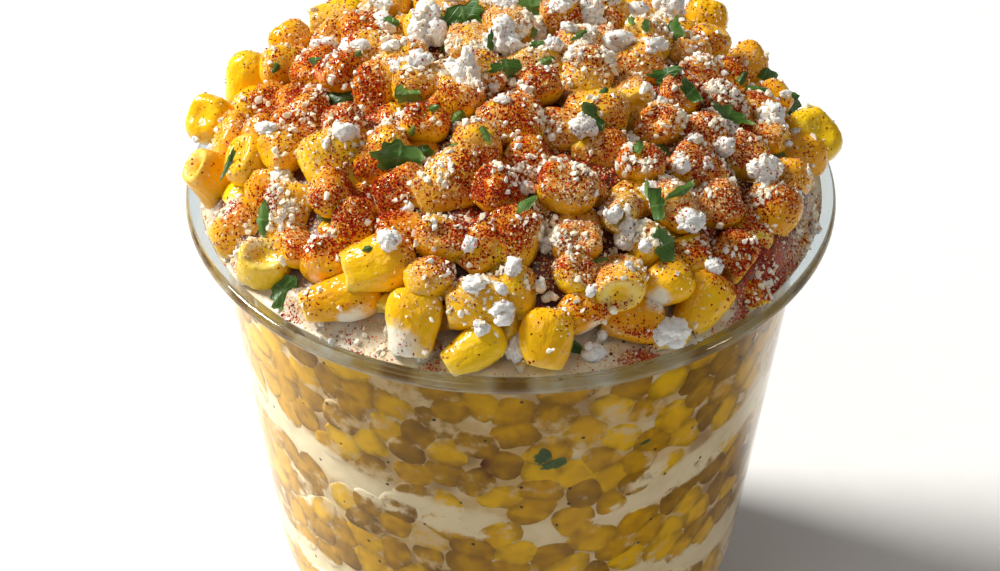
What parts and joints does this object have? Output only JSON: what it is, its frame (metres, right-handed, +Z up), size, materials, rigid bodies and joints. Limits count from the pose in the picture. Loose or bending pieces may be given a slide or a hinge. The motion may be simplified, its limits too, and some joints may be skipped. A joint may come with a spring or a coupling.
{
  "type": "esquites",
  "caption": "Clear tapered cup of esquites: layers of sweet corn and cream, heaped over the rim with corn, crumbled white cheese, chili powder and chopped herb.",
  "frame": {"origin": "middle of the cup's base, on the surface that it stands on", "axes": "+Z up along the cup's axis; -Y is the side that faces the viewer"},
  "size_m": [0.095, 0.095, 0.1105],
  "materials": {
    "clear_plastic": "clear, glossy, thin moulded",
    "corn": "moist, smooth skins",
    "cream": "soft sheen",
    "cheese": "dry, crumbled",
    "chili": "coarse powder",
    "herb": "fresh chopped leaf"
  },
  "bodies": {
    "root": {"cup": "clear_plastic", "corn_layer_bottom": "corn", "cream_layer_lower": "cream", "corn_layer_middle": "corn", "cream_layer_upper": "cream", "corn_layer_upper": "corn", "cream_layer_brim": "cream", "corn_heap": "corn"}
  },
  "joints": []
}
